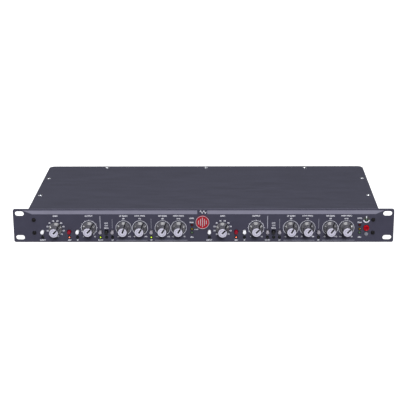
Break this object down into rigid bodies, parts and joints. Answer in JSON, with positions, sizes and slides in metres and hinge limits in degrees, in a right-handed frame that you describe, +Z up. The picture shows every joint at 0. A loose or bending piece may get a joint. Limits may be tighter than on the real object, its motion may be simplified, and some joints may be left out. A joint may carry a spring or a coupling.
{
  "type": "rack microphone preamp",
  "caption": "Low grey rack-mount microphone preamp with equaliser: slotted wide front panel, rows of skirted knobs and small push buttons, round badge, flat-lidded case, sockets behind.",
  "frame": {"origin": "middle of the unit's footprint, on the surface that it stands on", "axes": "+X to the right seen from the front, the front panel faces -Y, +Z up"},
  "size_m": [0.4826, 0.2214, 0.044],
  "materials": {
    "panel_paint": "satin",
    "case_paint": "satin",
    "black_plastic": "gloss",
    "black_shell": "satin",
    "steel": "satin",
    "red_enamel": "gloss",
    "white_cap": "gloss",
    "red_cap": "gloss",
    "silver_cap": "satin",
    "black_cap": "gloss",
    "power_red": "gloss",
    "circuit_board": "satin",
    "winding": "satin"
  },
  "bodies": {
    "case": {"front_panel": "panel_paint", "chassis_tray": "case_paint", "top_cover": "case_paint", "rear_panel": "case_paint", "front_panel_screw_1": "black_shell", "front_panel_screw_2": "black_shell", "front_panel_screw_3": "black_shell", "front_panel_screw_4": "black_shell", "badge": "red_enamel", "main_board": "circuit_board", "control_board_1": "circuit_board", "control_board_2": "circuit_board", "power_switch": "circuit_board", "power_transformer": "winding", "power_inlet": "black_plastic", "mic_input_1": "black_shell", "line_output_1": "black_shell", "output_jack_1": "black_plastic", "mic_input_2": "black_shell", "line_output_2": "black_shell", "output_jack_2": "black_plastic"},
    "gain_control_1": {"gain_knob_1": "black_plastic", "gain_shaft_1": "steel"},
    "output_control_1": {"output_knob_1": "black_plastic", "output_shaft_1": "steel"},
    "low_gain_control_1": {"low_gain_knob_1": "black_plastic", "low_gain_shaft_1": "steel"},
    "low_freq_control_1": {"low_freq_knob_1": "black_plastic", "low_freq_shaft_1": "steel"},
    "high_gain_control_1": {"high_gain_knob_1": "black_plastic", "high_gain_shaft_1": "steel"},
    "high_freq_control_1": {"high_freq_knob_1": "black_plastic", "high_freq_shaft_1": "steel"},
    "input_key_1": {"input_button_1": "white_cap"},
    "phantom_key_1": {"phantom_button_1": "red_cap"},
    "polarity_key_1": {"polarity_button_1": "white_cap"},
    "eq_key_1": {"eq_button_1": "silver_cap"},
    "filter_key_1": {"filter_button_1": "black_cap"},
    "low_shelf_key_1": {"low_shelf_button_1": "silver_cap"},
    "high_shelf_key_1": {"high_shelf_button_1": "silver_cap"},
    "gain_control_2": {"gain_knob_2": "black_plastic", "gain_shaft_2": "steel"},
    "output_control_2": {"output_knob_2": "black_plastic", "output_shaft_2": "steel"},
    "low_gain_control_2": {"low_gain_knob_2": "black_plastic", "low_gain_shaft_2": "steel"},
    "low_freq_control_2": {"low_freq_knob_2": "black_plastic", "low_freq_shaft_2": "steel"},
    "high_gain_control_2": {"high_gain_knob_2": "black_plastic", "high_gain_shaft_2": "steel"},
    "high_freq_control_2": {"high_freq_knob_2": "black_plastic", "high_freq_shaft_2": "steel"},
    "input_key_2": {"input_button_2": "white_cap"},
    "phantom_key_2": {"phantom_button_2": "red_cap"},
    "polarity_key_2": {"polarity_button_2": "white_cap"},
    "eq_key_2": {"eq_button_2": "silver_cap"},
    "filter_key_2": {"filter_button_2": "black_cap"},
    "low_shelf_key_2": {"low_shelf_button_2": "silver_cap"},
    "high_shelf_key_2": {"high_shelf_button_2": "silver_cap"},
    "power_key": {"power_button": "power_red"}
  },
  "joints": [
    {"name": "gain_turn_1", "type": "hinge", "parent": "case", "child": "gain_control_1", "pos_m": [-0.1877, -0.1107, 0.01815], "axis": [0, 1, 0], "range_deg": [-210, 120]},
    {"name": "output_turn_1", "type": "hinge", "parent": "case", "child": "output_control_1", "pos_m": [-0.1451, -0.1107, 0.019], "axis": [0, 1, 0], "range_deg": [-194, 106]},
    {"name": "low_gain_turn_1", "type": "hinge", "parent": "case", "child": "low_gain_control_1", "pos_m": [-0.1011, -0.1107, 0.019], "axis": [0, 1, 0], "range_deg": [-170, 130]},
    {"name": "low_freq_turn_1", "type": "hinge", "parent": "case", "child": "low_freq_control_1", "pos_m": [-0.0802, -0.1107, 0.019], "axis": [0, 1, 0], "range_deg": [-184, 116]},
    {"name": "high_gain_turn_1", "type": "hinge", "parent": "case", "child": "high_gain_control_1", "pos_m": [-0.05135, -0.1107, 0.019], "axis": [0, 1, 0], "range_deg": [-185, 115]},
    {"name": "high_freq_turn_1", "type": "hinge", "parent": "case", "child": "high_freq_control_1", "pos_m": [-0.03105, -0.1107, 0.019], "axis": [0, 1, 0], "range_deg": [-182, 118]},
    {"name": "input_press_1", "type": "slide", "parent": "case", "child": "input_key_1", "axis": [0, 1, 0], "range_m": [0, 0.0025], "stiffness_N_per_m": 300, "springref_m": -0.001},
    {"name": "phantom_press_1", "type": "slide", "parent": "case", "child": "phantom_key_1", "axis": [0, 1, 0], "range_m": [0, 0.0025], "stiffness_N_per_m": 300, "springref_m": -0.001},
    {"name": "polarity_press_1", "type": "slide", "parent": "case", "child": "polarity_key_1", "axis": [0, 1, 0], "range_m": [0, 0.0025], "stiffness_N_per_m": 300, "springref_m": -0.001},
    {"name": "eq_press_1", "type": "slide", "parent": "case", "child": "eq_key_1", "axis": [0, 1, 0], "range_m": [0, 0.0025], "stiffness_N_per_m": 300, "springref_m": -0.001},
    {"name": "filter_press_1", "type": "slide", "parent": "case", "child": "filter_key_1", "axis": [0, 1, 0], "range_m": [0, 0.0025], "stiffness_N_per_m": 300, "springref_m": -0.001},
    {"name": "low_shelf_press_1", "type": "slide", "parent": "case", "child": "low_shelf_key_1", "axis": [0, 1, 0], "range_m": [0, 0.0025], "stiffness_N_per_m": 300, "springref_m": -0.001},
    {"name": "high_shelf_press_1", "type": "slide", "parent": "case", "child": "high_shelf_key_1", "axis": [0, 1, 0], "range_m": [0, 0.0025], "stiffness_N_per_m": 300, "springref_m": -0.001},
    {"name": "gain_turn_2", "type": "hinge", "parent": "case", "child": "gain_control_2", "pos_m": [0.0247, -0.1107, 0.01815], "axis": [0, 1, 0], "range_deg": [-210, 120]},
    {"name": "output_turn_2", "type": "hinge", "parent": "case", "child": "output_control_2", "pos_m": [0.0673, -0.1107, 0.019], "axis": [0, 1, 0], "range_deg": [-195, 105]},
    {"name": "low_gain_turn_2", "type": "hinge", "parent": "case", "child": "low_gain_control_2", "pos_m": [0.1113, -0.1107, 0.019], "axis": [0, 1, 0], "range_deg": [-180, 120]},
    {"name": "low_freq_turn_2", "type": "hinge", "parent": "case", "child": "low_freq_control_2", "pos_m": [0.1322, -0.1107, 0.019], "axis": [0, 1, 0], "range_deg": [-188, 112]},
    {"name": "high_gain_turn_2", "type": "hinge", "parent": "case", "child": "high_gain_control_2", "pos_m": [0.16105, -0.1107, 0.019], "axis": [0, 1, 0], "range_deg": [-187, 113]},
    {"name": "high_freq_turn_2", "type": "hinge", "parent": "case", "child": "high_freq_control_2", "pos_m": [0.18135, -0.1107, 0.019], "axis": [0, 1, 0], "range_deg": [-194, 106]},
    {"name": "input_press_2", "type": "slide", "parent": "case", "child": "input_key_2", "axis": [0, 1, 0], "range_m": [0, 0.0025], "stiffness_N_per_m": 300, "springref_m": -0.001},
    {"name": "phantom_press_2", "type": "slide", "parent": "case", "child": "phantom_key_2", "axis": [0, 1, 0], "range_m": [0, 0.0025], "stiffness_N_per_m": 300, "springref_m": -0.001},
    {"name": "polarity_press_2", "type": "slide", "parent": "case", "child": "polarity_key_2", "axis": [0, 1, 0], "range_m": [0, 0.0025], "stiffness_N_per_m": 300, "springref_m": -0.001},
    {"name": "eq_press_2", "type": "slide", "parent": "case", "child": "eq_key_2", "axis": [0, 1, 0], "range_m": [0, 0.0025], "stiffness_N_per_m": 300, "springref_m": -0.001},
    {"name": "filter_press_2", "type": "slide", "parent": "case", "child": "filter_key_2", "axis": [0, 1, 0], "range_m": [0, 0.0025], "stiffness_N_per_m": 300, "springref_m": -0.001},
    {"name": "low_shelf_press_2", "type": "slide", "parent": "case", "child": "low_shelf_key_2", "axis": [0, 1, 0], "range_m": [0, 0.0025], "stiffness_N_per_m": 300, "springref_m": -0.001},
    {"name": "high_shelf_press_2", "type": "slide", "parent": "case", "child": "high_shelf_key_2", "axis": [0, 1, 0], "range_m": [0, 0.0025], "stiffness_N_per_m": 300, "springref_m": -0.001},
    {"name": "power_press", "type": "slide", "parent": "case", "child": "power_key", "axis": [0, 1, 0], "range_m": [0, 0.0025], "stiffness_N_per_m": 300, "springref_m": -0.001}
  ]
}
